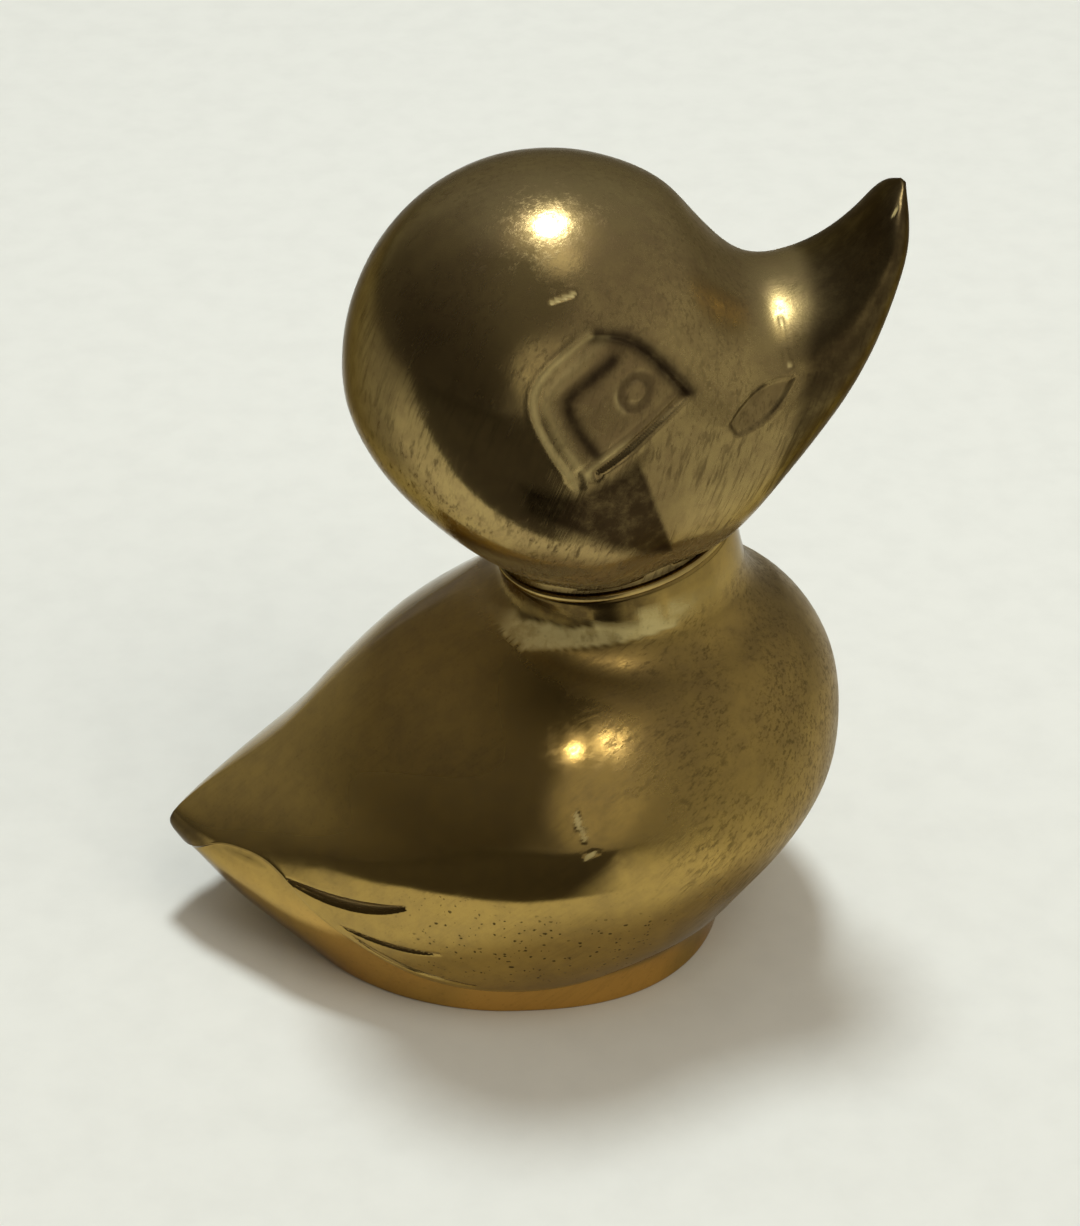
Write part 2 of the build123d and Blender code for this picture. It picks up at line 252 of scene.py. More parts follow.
LOWERED = (SHOULDER_HEIGHT - ROOF) / SHOULDER_HEIGHT
CAVITY_KNOTS = np.concatenate([[0.0], BODY_STATIONS[1:, 0] * SHOULDER_HEIGHT * LOWERED])
CAVITY_FOOT = (FOOT[0] - FOOT_RIM, FOOT[1] - FOOT_RIM, FOOT[2] - FOOT_RIM, FOOT[3], 1)
CAVITY_SIZES = np.array(
    [CAVITY_FOOT] + set_in(BODY_STATIONS[1:], WALL, WING_STEP + WALL, CAVITY_TAIL_REACH, CAVITY_POINT)
)


def cavity_skin(turn, height):
    """Points of the cored hollow inside the body."""
    return placed(turn, height, curve_through(CAVITY_KNOTS, CAVITY_SIZES, height))


def search(low, high, below):
    """Halving search, column by column, for the place where below turns false."""
    for _ in range(44):
        middle = (low + high) / 2
        under = below(middle)
        low = np.where(under, middle, low)
        high = np.where(under, high, middle)
    return (low + high) / 2


def neck_place(points):
    """Height along the neck axis, distance from it and angle round it."""
    away = points - NECK_TOP
    height = away @ NECK_AXIS
    flat = away - height[..., None] * NECK_AXIS
    return height, np.linalg.norm(flat, axis=-1), np.arctan2(flat[..., 1], flat @ NECK_FORWARD)


def round_neck(height, radius, angle):
    """Points at a height, radius and angle round the neck axis."""
    height, radius, angle = np.broadcast_arrays(height, radius, angle)
    return (
        NECK_TOP
        + height[..., None] * NECK_AXIS
        + (radius * np.cos(angle))[..., None] * NECK_FORWARD
        + (radius * np.sin(angle))[..., None] * np.array([0.0, 1.0, 0.0])
    )


def spaced(density, count, start, end):
    """Places between start and end, closer together where the density is higher."""
    fine = np.linspace(start, end, 4000)
    share = np.concatenate([[0], np.cumsum((density(fine[1:]) + density(fine[:-1])) / 2)])
    return np.interp(np.linspace(0, share[-1], count), share, fine)


def grid_normals(points, wrap_rows):
    """Outward normals of a grid of points whose columns go round."""
    across = np.roll(points, -1, 1) - np.roll(points, 1, 1)
    if wrap_rows:
        along = np.roll(points, -1, 0) - np.roll(points, 1, 0)
    else:
        along = np.gradient(points, axis=0)
    normal = np.cross(across, along)
    return normal / np.maximum(np.linalg.norm(normal, axis=-1, keepdims=True), 1e-9)


def waves(points, seed, longest, shortest, count=26):
    """Gentle unevenness of a hand-finished surface, about -1 to 1."""
    draw = np.random.default_rng(seed)
    total = np.zeros(points.shape[:-1])
    for length in np.geomspace(longest, shortest, count):
        direction = draw.normal(size=3)
        direction *= 2 * pi / length / np.linalg.norm(direction)
        total += (length / longest) ** 0.8 * np.sin(points @ direction + draw.uniform(0, 2 * pi))
    return total / sqrt(count / 3)


def line_distance(flat, line):
    """Distance from flat points to a chain of short straight pieces, and how far along the nearest is."""
    best = np.full(len(flat), 1e9)
    where = np.zeros(len(flat))
    count = len(line) - 1
    for i in range(count):
        step = line[i + 1] - line[i]
        share = np.clip(((flat - line[i]) @ step) / (step @ step), 0, 1)
        gap = np.linalg.norm(flat - line[i] - share[:, None] * step, axis=1)
        nearer = gap < best
        best[nearer] = gap[nearer]
        where[nearer] = (i + share[nearer]) / count
    return best, where


def inside(flat, outline):
    """True for flat points within a closed outline."""
    result = np.zeros(len(flat), bool)
    for a, b in zip(outline, np.roll(outline, -1, 0)):
        spans = (a[1] > flat[:, 1]) != (b[1] > flat[:, 1])
        rise = b[1] - a[1] if b[1] != a[1] else 1e-12
        result ^= spans & (flat[:, 0] < (b[0] - a[0]) * (flat[:, 1] - a[1]) / rise + a[0])
    return result


# Masks of wear and of painted light: tarnish with painted shade, scraped metal with painted glints, and a
# painted warm reflection on the foot
MASKS = ("recess", "tarnish_and_shade", "bare_and_glint", "satin", "pitted", "brushed", "hazed", "painted_foot_reflection")


def new_piece(name, points, faces, masks, body):
    """Mesh object in metres, smooth, with a mask per point for each way the surface has aged and for the
    light and shade painted on it.
    """
    mesh = bpy.data.meshes.new(name)
    mesh.from_pydata((np.asarray(points) * MM).tolist(), [], faces)
    for label in MASKS:
        mask_layer = mesh.attributes.new(label, "FLOAT", "POINT")
        values = np.clip(masks.get(label, np.zeros(len(points))), 0, 1)
        mask_layer.data.foreach_set("value", np.asarray(values, np.float32))
    mesh.polygons.foreach_set("use_smooth", np.ones(len(mesh.polygons), bool))
    mesh.update()
    piece = bpy.data.objects.new(name, mesh)
    bpy.context.scene.collection.objects.link(piece)
    if body:
        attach(piece, body)
    return piece


def grid_faces(rows, columns, wrap_rows):
    """Four-sided faces of a grid whose columns go round."""
    row = np.arange(rows if wrap_rows else rows - 1)[:, None]
    column = np.arange(columns)[None, :]
    after = (row + 1) % rows
    beside = (column + 1) % columns
    corners = [
        row * columns + column, row * columns + beside, after * columns + beside, after * columns + column
    ]
    return np.stack([np.broadcast_to(c, (row.size, columns)) for c in corners], -1).reshape(-1, 4).tolist()


def capped_faces(rows, columns):
    """Faces of a grid with one point closing each end: first point, grid, last point."""
    faces = (np.array(grid_faces(rows, columns, False)) + 1).tolist()
    last = rows * columns + 1
    start = last - columns
    for i in range(columns):
        j = (i + 1) % columns
        faces.append([0, 1 + j, 1 + i])
        faces.append([last, start + i, start + j])
    return faces


def dents(points, marks):
    """Depth of small knocks: two ends, radius and depth of each."""
    depth = np.zeros(len(points))
    for start, end, radius, deep in marks:
        start, end = np.array(start), np.array(end)
        step = end - start
        share = np.clip((points - start) @ step / max(step @ step, 1e-9), 0, 1)
        gap = np.linalg.norm(points - start - share[:, None] * step, axis=1) / radius
        depth += deep * (np.exp(-(gap**2) * 2.2) - 0.25 * np.exp(-((gap - 1.35) ** 2) * 5))
    return depth


def nicks(points, marks):
    """Depth of small nicks tilted upward to catch the light, and where they are, to be painted pale as
    glints.
    """
    depth = np.zeros(len(points))
    cut = np.zeros(len(points))
    for place, tall, wide, slant, slope in marks:
        x, y, z = (points - np.array(place)).T
        within = smooth(1 - (z / tall) ** 2 - ((x - slant * z) / wide) ** 2 - (y / 3) ** 2, 0.0, 0.5)
        depth += slope * z * within
        cut = np.maximum(cut, within)
    return depth, cut


# Nicks: place, half height, half width, slant and slope. Dents and pits: two ends, radius and depth
BODY_NICKS = [
    ((4.6, -23.0, 28.3), 1.05, 0.34, -0.15, 0.16),
    ((5.15, -23.6, 27.0), 0.90, 0.30, -0.25, 0.18),
    ((5.8, -24.55, 24.95), 0.60, 0.34, 0.80, 0.22),
]
BODY_DENTS = [
    ((-20.2, -17.0, 20.0), (-18.2, -18.1, 19.7), 0.50, 0.10),
    ((10.5, 22.8, 26.5), (11.2, 22.9, 25.8), 0.60, 0.07),
    ((-8.4, 20.6, 25.0), (-7.8, 21.0, 24.6), 0.50, 0.06),
    ((24.0, 14.0, 32.0), (24.3, 14.2, 31.4), 0.50, 0.06),
    ((-20.0, 7.5, 29.0), (-19.2, 7.7, 29.2), 0.60, 0.05),
]
BODY_PITS = [((-30.5, -10.1, 14.3), (-30.3, -10.1, 13.7), 0.35, 0.35)]
# The deeper head dents are painted pale: a scratch on the crown, and painted highlights as a streak at the
# bill's root and a glint on its edge
HEAD_DENTS_AND_GLINTS = [
    ((-1.2, -15.0, 15.6), (1.0, -14.5, 16.2), 0.34, 0.10),
    ((22.3, -7.0, 8.8), (22.9, -11.0, 5.6), 0.30, 0.07),
    ((33.8, -3.2, 18.8), (33.4, -3.7, 18.3), 0.35, 0.08),
    ((-8.0, 12.0, 15.2), (-7.2, 12.2, 15.6), 0.80, 0.04),
    ((3.0, 19.4, -8.0), (3.5, 19.3, -8.2), 0.60, 0.04),
    ((-15.0, -3.0, 14.0), (-14.6, -2.4, 14.5), 0.70, 0.04),
]
HEAD_PITS = [((1.6, -16.6, -13.2), (1.7, -16.5, -13.3), 0.45, 0.40)]

# Rows of the body skin from the foot up to the neck, and columns round it
FOOT_ROWS = 31
LIP_ROWS = 12
BACK_ROWS = 140
FLARE_ROWS = 14
OUTSIDE_ROWS = FOOT_ROWS + LIP_ROWS + BACK_ROWS + FLARE_ROWS
NECK_ROWS = 4
CAVITY_ROWS = 26
BODY_COLUMNS = 404


def body_rows():
    """Rows of points up the outside of the body, down the neck bore and back inside to the foot rim."""

    def column_density(turn):
        side = np.minimum(turn, 2 * pi - turn)
        return 1 + 1.5 * smooth(side, 1.45, 1.65) * (1 - smooth(side, 2.25, 2.6))

    turn = spaced(column_density, BODY_COLUMNS + 1, 0, 2 * pi)[:-1]

    def under_edge(height):
        x = wing_skin(turn, height)[:, 0]
        return height < curve_through(WING_EDGE[:, 0], WING_EDGE[:, 1], x)

    def beyond(skin, radius):
        return lambda height: neck_place(skin(turn, height))[1] > radius

    edge = search(np.full_like(turn, 3.0), np.full_like(turn, 16.0), under_edge)
    top = np.full_like(turn, SHOULDER_HEIGHT)
    flare = search(top * 0.6, top, beyond(wing_skin, NECK_RADIUS + FLARE_SPREAD))
    seam = search(top * 0.6, top, beyond(wing_skin, NECK_RADIUS))
    lip_half = LIP_HALF + HOLLOW_HALF * smooth(wing_skin(turn, edge)[:, 0], 3, 15)
    # Rounded lower edge of the foot, then the foot band with the swell under the tail
    rows = [foot_skin(turn, np.full_like(turn, 0.12)) * (0.9965, 0.9965, 1.0)]
    tail_side = smooth(np.abs(turn - pi), 1.25, 0.55)
    for share in np.linspace(0, 1, FOOT_ROWS - 1):
        row = foot_skin(turn, FOOT_EDGE + (edge - lip_half - FOOT_EDGE) * share)
        swell = TAIL_SWELL * tail_side * np.sin(pi * share) ** 2
        out = np.stack([row[:, 0] + 4.0, row[:, 1] * 1.6], -1)
        row[:, :2] += swell[:, None] * out / np.linalg.norm(out, axis=1, keepdims=True)
        rows.append(row)
    # Lip of the wing, soft and hollow in front
    for share in np.linspace(0.08, 1, LIP_ROWS):
        height = edge + lip_half * (2 * share - 1)
        blend = smooth(share)
        rows.append(foot_skin(turn, height) * (1 - blend) + wing_skin(turn, height) * blend)
    # Flank and back
    for share in np.linspace(0, 1, BACK_ROWS + 1)[1:]:
        rise = 0.68 * share + 0.32 * share * share
        rows.append(wing_skin(turn, edge + lip_half + (flare - edge - lip_half) * rise))
    # Hollow flare from the shoulder up to the neck
    first = rows[-1]
    corner = wing_skin(turn, seam)
    seam_height, _, angle = neck_place(corner)
    flare_top = np.minimum(seam_height + FLARE_RISE, -0.6)
    last = round_neck(flare_top, NECK_RADIUS, angle)
    for share in np.linspace(0, 1, FLARE_ROWS + 1)[1:]:
        rows.append((1 - share) ** 2 * first + 2 * share * (1 - share) * corner + share**2 * last)
    # Neck, its top face, the bore, the stud hole and the nut seat
    for share in (0.35, 0.7, 0.9):
        rows.append(round_neck(flare_top * (1 - share) - 0.2 * share, NECK_RADIUS, angle))
    for height, radius in (
        (-0.05, NECK_RADIUS - 0.06), (0, NECK_RADIUS - 0.2), (0, 9.5), (0, BORE_RADIUS + 0.2),
        (-0.2, BORE_RADIUS), (-BORE_DEPTH / 2, BORE_RADIUS), (-BORE_DEPTH + 0.1, BORE_RADIUS),
        (-BORE_DEPTH, BORE_RADIUS - 0.1), (-BORE_DEPTH, 5.0), (-BORE_DEPTH, STUD_HOLE_RADIUS + 0.1),
        (-BORE_DEPTH - 0.1, STUD_HOLE_RADIUS), (FLOOR_UNDER + 0.1, STUD_HOLE_RADIUS),
    ):
        rows.append(round_neck(height, radius, angle))
    seat = search(top * LOWERED * 0.5, top * LOWERED, beyond(cavity_skin, SEAT_RADIUS))
    seat_height, _, seat_angle = neck_place(cavity_skin(turn, seat))
    for radius in (STUD_HOLE_RADIUS + 0.1, 5.4, SEAT_RADIUS - 0.1):
        rows.append(round_neck(FLOOR_UNDER, radius, seat_angle))
    seat_height = np.minimum(seat_height, FLOOR_UNDER - 0.3)
    for height in (FLOOR_UNDER - 0.1, (seat_height + FLOOR_UNDER - 0.1) / 2):
        rows.append(round_neck(height, SEAT_RADIUS, seat_angle))
    # Cored hollow and the foot rim
    for share in np.linspace(0, 1, CAVITY_ROWS):
        rows.append(cavity_skin(turn, seat + (0.4 - seat) * share))
    rim = foot_skin(turn, np.zeros_like(turn))
    inner = cavity_skin(turn, np.zeros_like(turn))
    for share in (0.03, 0.35, 0.7, 0.965):
        rows.append(inner + (rim - inner) * share)
    return np.array(rows)


def feather_cuts(flat):
    """Depth of the engraved feather lines."""
    depth = np.zeros(len(flat))
    share = np.linspace(0, 1, 60)[:, None]
    for back, middle, front, width, deep in FEATHER_LINES:
        back, middle, front = map(np.array, (back, middle, front))
        bow = 2 * middle - (back + front) / 2
        line = (1 - share) ** 2 * back + 2 * share * (1 - share) * bow + share**2 * front
        near = (np.abs(flat[:, 0] - (back[0] + front[0]) / 2) < 9) & (flat[:, 2] < 18)
        gap, where = line_distance(flat[near][:, [0, 2]], line)
        half = width / 2 * np.sin(pi * np.clip(where, 0.02, 0.98)) ** 0.6
        cut = deep * (1 - smooth(gap / np.maximum(half, 0.02), 0.25, 1.15))
        depth[near] = np.maximum(depth[near], cut)
    return depth


def body_casting():
    """Hollow body with its neck, one closed skin, how each place on it has aged, and where shade, glints and
    reflection are painted on it.
    """
    points = body_rows()
    shape = points.shape[:2]
    normals = grid_normals(points, True).reshape(-1, 3)
    flat = points.reshape(-1, 3)
    x, y, height = flat.T
    row = np.repeat(np.arange(shape[0]), shape[1])
    skin = row < OUTSIDE_ROWS
    lip_row = row - FOOT_ROWS
    neck_height, neck_distance, round_angle = neck_place(flat)
    drift = waves(flat, 3, 20, 6)
    either_side = np.column_stack([x, np.abs(y), height])

    def patch(middle, spread):
        return skin * np.exp(-np.sum((either_side - np.array(middle)) ** 2, 1) / (2 * spread**2))

    # Relief: feather lines, beads on the lip and the collar, marks and hand-finished unevenness
    feathers = feather_cuts(flat) * skin
    lip = hump(lip_row, 8.5, 2.0) * (0.35 + 0.65 * smooth(x, -30, -20)) * smooth(x, 14, 4)
    flare_edge = NECK_RADIUS + FLARE_SPREAD
    on_neck = (row < OUTSIDE_ROWS + NECK_ROWS) & (neck_distance < flare_edge)
    ragged = neck_height + 0.30 * waves(flat, 21, 7, 1.5)
    over_collar = smooth(ragged, COLLAR_TOP, COLLAR_TOP + 0.5)
    collar = on_neck * smooth(neck_height, COLLAR_FOOT, COLLAR_FOOT + 0.3) * (1 - over_collar)
    near_side = smooth(np.cos(round_angle - COLLAR_SIDE), 0.60, 0.80)
    pits = dents(flat, BODY_PITS)
    # Nicks tilted to catch the front lamps, and painted pale as glints
    nick_depth, nick_glint = nicks(flat, BODY_NICKS)
    marks = dents(flat, BODY_DENTS) + pits + nick_depth
    depth = feathers + skin * (marks + BODY_UNEVEN * waves(flat, 11, 26, 5) - LIP_BEAD * lip)
    depth -= COLLAR_BEAD * collar * near_side
    # Ageing, and painted shade, glints and reflection
    # Painted shade: the neck over the collar is darkened on the side facing the front
    shaded_side = smooth(np.cos(round_angle - PAINTED_SHADE_NECK_SIDE), 0.74, 0.90)
    painted_neck_shade = on_neck * over_collar * (0.15 + 0.85 * shaded_side)
    # Tail tip darkened: patina, and painted shade where its underside mirrors the floor shadow
    shaded_tail_tip = skin * (lip_row > 2) * smooth(x + 0.5 * (height - 12), -33.5, -35.5)
    shaded_tail_tip = shaded_tail_tip * smooth(height, 14.5, 12.5)
    under_lip = hump(lip_row, 2.0, 2.5) * smooth(x, -32, -20)
    breast = smooth(x + 0.35 * height, 17, 30)
    upper = smooth(normals[:, 2], 0.1, 0.75) * smooth(height, 9, 15)
    flared = smooth(neck_distance, flare_edge + 2.5, flare_edge) * (height > 30)
    # Painted warm reflection of the floor on the foot band, stronger towards the front
    foot_reflection_share = smooth(lip_row, 0, -7) * (0.12 + 0.68 * smooth(x, -28, -16)) * smooth(drift, -2.4, 0.6)
    # Painted shade on the shoulder just under the collar, below the head
    painted_shoulder_shade = patch(*SHADED_SHOULDER) * smooth(neck_height, COLLAR_FOOT + 0.1, COLLAR_FOOT - 0.4)
    buffed = patch(*BUFFED_FLANK)
    # Pale collar band, chiefly on the front side: scraped wear, and painted reflection where the fillet turns
    scraped_and_glint = collar * (0.12 + 0.88 * near_side)
    # Pale line on the lip: wear, and a painted highlight along its edge
    lip_wear_and_glint = lip * smooth(drift, -0.6, 0.4) * (1 - shaded_tail_tip)
    masks = {
        "recess": np.maximum(feathers / FEATHER_FULL, 0.6 * under_lip),
        "tarnish_and_shade": 0.80 * painted_neck_shade + 0.85 * shaded_tail_tip + 0.45 * painted_shoulder_shade + smooth(pits, 0.08, 0.2),
        "bare_and_glint": scraped_and_glint + 0.30 * lip_wear_and_glint + nick_glint,
        "satin": skin * np.clip(breast + 0.25 * upper + 0.7 * flared + 0.15 * buffed, 0, 1),
        "brushed": skin * np.clip(0.15 + 0.85 * breast + 0.12 * buffed, 0, 1),
        "hazed": skin * upper * (1 - 0.5 * breast) * (1 - 0.85 * patch(*RUBBED_SHOULDER)),
        "painted_foot_reflection": skin * foot_reflection_share,
        "pitted": skin * smooth(height, 19, 15) * smooth(height, 5, 8) * smooth(np.abs(x - 1), 18, 9),
    }
    points = flat - depth[:, None] * normals
    points[:, 2] = np.maximum(points[:, 2], 0.0)
    return new_piece("duck_body", points, grid_faces(*shape, True), masks, "body")


def head_sections():
    """Place, tilt, rise, drop, half width and fullness of the sections, back of the skull to bill tip."""
    sections = []
    for angle, full in SKULL_SECTIONS:
        turn = radians(angle)
        back = max(cos(turn), 0)
        front = max(-cos(turn), 0)
        reach = HEAD_RADIUS * sin(turn)
        sections.append((
            -HEAD_RADIUS * cos(turn), 0, 0, reach * (1 + SKULL_LIFT + SKULL_CROWN * back),
            reach * (1 + SKULL_DROP - SKULL_TUCK * back + SKULL_CHIN * front), reach, full,
        ))
    for forward, up, tilt, above, below, half_width, full in BILL_STATIONS:
        sections.append((
            BILL_REACH * forward, BILL_RISE * up, tilt,
            HEAD_RADIUS * above, HEAD_RADIUS * below, HEAD_RADIUS * half_width, full,
        ))
    return np.array(sections)


HEAD_ROWS = 213
HEAD_COLUMNS = 440
BILL_CAP = 0.25


def head_rows():
    """Rows of points from the back of the skull to the bill, round the head centre, and the bill tip."""
    sections = head_sections()
    top = np.stack([sections[:, 0], sections[:, 1] + sections[:, 3]], -1)
    low = np.stack([sections[:, 0], sections[:, 1] - sections[:, 4]], -1)
    step = (np.linalg.norm(np.diff(top, axis=0), axis=1) + np.linalg.norm(np.diff(low, axis=0), axis=1)) / 2
    knots = np.concatenate([[0], np.cumsum(step)])
    fine = np.linspace(0, knots[-1], 2000)
    forward = curve_through(knots, sections, fine)[:, 0]

    def row_density(at):
        x = np.interp(at, fine, forward)
        eyes = smooth(x, -5.5, -3.5) * (1 - smooth(x, 13.5, 15.5))
        nostrils = smooth(x, 15.5, 17) * (1 - smooth(x, 24, 26))
        return 1 + 1.9 * eyes + 1.2 * nostrils + 1.0 * smooth(x, 30, 34)

    def column_density(turn):
        side = np.minimum(turn, 2 * pi - turn)
        return 1 + 1.7 * smooth(side, 0.68, 0.85) * (1 - smooth(side, 1.70, 1.9))

    places = spaced(row_density, HEAD_ROWS + 1, 0, knots[-1])[1:]
    turn = spaced(column_density, HEAD_COLUMNS + 1, 0, 2 * pi)[:-1]
    values = curve_through(knots, sections, places)
    x, z, tilt, above, below, half, full = (values[:, i:i + 1] for i in range(7))
    tilt = np.radians(tilt)
    tall = np.where(np.cos(turn) > 0, above * np.cos(turn), -below * np.abs(np.cos(turn)) ** full)
    points = np.stack([x - tall * np.sin(tilt), half * -np.sin(turn), z + tall * np.cos(tilt)], -1)
    end_x, end_z, end_tilt = values[-1, :3]
    end_tilt = radians(end_tilt)
    tip = np.array([end_x + BILL_CAP * cos(end_tilt), 0, end_z + BILL_CAP * sin(end_tilt)])
    return points, tip


def cheek_place(flat):
    """How far side-view places lie along the cheek ridge and in front of it."""
    start, end = CHEEK_LINE
    run = (end - start) / np.linalg.norm(end - start)
    return (flat - start) @ run, (flat - start) @ np.array([-run[1], run[0]])


def cheek_ridge(flat):
    """Height of the soft ridge from the front corner of the eye down to the neck, at side-view places."""
    along, beside = cheek_place(flat)
    sides = np.where(beside < 0, np.exp(beside / CHEEK_BEHIND), np.exp(-beside / CHEEK_AHEAD))
    length = np.linalg.norm(CHEEK_LINE[1] - CHEEK_LINE[0])
    return CHEEK_RISE * sides * smooth(along, -1.5, 3.0) * smooth(along, length + 2.5, length - 3.0)


def painted_cheek_shade(flat):
    """Where the cheek is painted darker as shade behind its ridge, at side-view places."""
    rim = line_distance(flat, np.concatenate([SHADED_CHEEK, SHADED_CHEEK[:1]]))[0]
    browned = smooth(np.where(inside(flat, SHADED_CHEEK), rim, -rim), -0.8, 1.2)
    return browned * smooth(cheek_place(flat)[1], 0.3, -0.3)


def eye(flat):
    """Depth of the eye at side-view places from the head centre, where it is scraped and painted with glints,
    and where it is grimy and painted with shade.
    """
    depth, bare_and_glint, grime_and_shade = np.zeros((3, len(flat)))
    back = curve_through(np.arange(4.0), EYE_EDGE[:4], np.linspace(0, 3, 50))
    brow = curve_through(np.arange(3.0), EYE_EDGE[3:], np.linspace(0, 2, 36))
    near = (np.abs(flat[:, 0] - 4.5) < 9.5) & (np.abs(flat[:, 1] - 6) < 9.5)
    spots = flat[near]
    left = line_distance(spots, back)[0]
    upper = line_distance(spots, brow)[0]
    lower = line_distance(spots, np.array([brow[-1], back[0]]))[0]
    within = inside(spots, np.concatenate([back, brow[1:]]))
    past_left, past_upper, past_lower = (np.where(within, gap, -gap) for gap in (left, upper, lower))
    ramp = 0.40 * smooth(left, 0, 0.4) + 0.60 * smooth(left, 1.5, 3.0)
    cut = np.where(within, EYE_DEPTH * ramp * smooth(upper, 0.0, 0.4) * smooth(lower, 0.0, 0.45), 0.0)
    # Cut line along the lower edge, with a raised bead on each side of it
    along = smooth(np.minimum(left, upper), 0.3, 1.2)
    cut -= 0.10 * hump(past_lower, -0.32, 0.24) * along
    cut -= 0.22 * hump(past_lower, 0.80, 0.22) * along * within
    cut += 0.10 * hump(past_lower, 1.30, 0.20) * along * within
    # Burr outside the upper and left walls
    cut -= 0.06 * hump(past_upper, -0.28, 0.22) * smooth(np.minimum(left, lower), 0.3, 1.5)
    cut -= 0.05 * hump(past_left, -0.25, 0.22) * smooth(np.minimum(upper, lower), 0.3, 1.5)
    pupil = np.linalg.norm(spots - PUPIL, axis=1)
    middle = (PUPIL_RADIUS + PUPIL_DOT_RADIUS) / 2
    ring = 1 - smooth(np.abs(pupil - middle), 0.15, (PUPIL_RADIUS - PUPIL_DOT_RADIUS) / 2 + 0.15)
    depth[near] = cut + PUPIL_DEPTH * ring * within
    # Pale scraped rims, with painted glints on the left rim, the lower bead and the pupil's edge
    bare_and_glint[near] = np.max([
        0.7 * hump(past_left, 0.25, 0.40),
        0.35 * hump(past_left, 1.45, 0.65),
        0.9 * hump(past_lower, 0.75, 0.30) * along,
        0.7 * hump(pupil, PUPIL_RADIUS + 0.1, 0.25) * within,
    ], axis=0)
    # Painted shade along the upper wall and in the hollow inside the left rim, with a little stain
    shaded_wall = hump(past_upper, 0.15, 0.70) * smooth(left, 0.0, 0.8)
    hollow = hump(left, 3.5, 0.8) * smooth(lower, 0.3, 1.5) * smooth(upper, 0.5, 2.0)
    stain = smooth(waves(np.column_stack([spots, 0 * pupil]), 17, 6, 0.7), -0.2, 0.9)
    grime_and_shade[near] = np.clip(shaded_wall + within * (np.maximum(hollow, 0.45 * ring) + 0.06 * stain), 0, 1)
    return depth, bare_and_glint, grime_and_shade


def nostril(flat):
    """Depth of the nostril at side-view places from the head centre, and where it is grimy and painted with
    shade along its edge and in its bowl.
    """
    depth, grime_and_shade = np.zeros((2, len(flat)))
    spine = NOSTRIL_FRONT - NOSTRIL_BACK
    length = np.linalg.norm(spine)
    spine = spine / length
    across = np.array([-spine[1], spine[0]])
    near = np.linalg.norm(flat - (NOSTRIL_BACK + NOSTRIL_FRONT) / 2, axis=1) < 5.5
    along = (flat[near] - NOSTRIL_BACK) @ spine / length
    aside = (flat[near] - NOSTRIL_BACK) @ across
    half = NOSTRIL_BACK_WIDTH / 2 * np.clip(1 - along, 0, 1)
    half += (NOSTRIL_WIDTH / 2 - NOSTRIL_BACK_WIDTH / 4) * np.clip(4 * along * (1 - along), 0, 1)
    edge = np.minimum(half - np.abs(aside), np.minimum(along, 1 - along) * length * 0.9)
    bowl = smooth(edge, -0.1, 0.5) * (0.75 + 0.25 * smooth(aside, -1.0, 1.0))
    depth[near] = NOSTRIL_DEPTH * bowl - 0.05 * hump(edge, -0.30, 0.25)
    stain = smooth(waves(np.column_stack([flat[near], 0 * along]), 29, 4, 0.5), -0.6, 0.6)
    # Painted shade in the bowl and along the edge, broken by stain
    grime_and_shade[near] = np.maximum(0.30 * bowl, hump(edge, 0.08, 0.22)) * (0.3 + 0.6 * stain)
    return depth, grime_and_shade


def lathe(name, profile, columns, body=None):
    """Piece turned round the neck axis from heights and radii: solid if it starts on the axis, or a ring."""
    angle = np.linspace(0, 2 * pi, columns, endpoint=False)
    rows = [round_neck(height, radius, angle) for height, radius in profile]
    if profile[0][1] == 0:
        points = np.concatenate([rows[0][:1], *rows[1:-1], rows[-1][:1]])
        faces = capped_faces(len(rows) - 2, columns)
    else:
        points = np.concatenate(rows)
        faces = grid_faces(len(rows), columns, True)
    return new_piece(name, points, faces, {}, body)


def joined(piece, other, operation):
    """Applies a solid cut or join to the piece, and removes the other one."""
    cut = piece.modifiers.new("cut", "BOOLEAN")
    cut.operation = operation
    cut.object = other
    cut.solver = "EXACT"
    bpy.context.view_layer.update()
    seen = piece.evaluated_get(bpy.context.evaluated_depsgraph_get())
    mesh = bpy.data.meshes.new_from_object(seen)
    old = piece.data
    piece.modifiers.clear()
    piece.data = mesh
    bpy.data.meshes.remove(old)
    gone = other.data
    bpy.data.objects.remove(other)
    bpy.data.meshes.remove(gone)


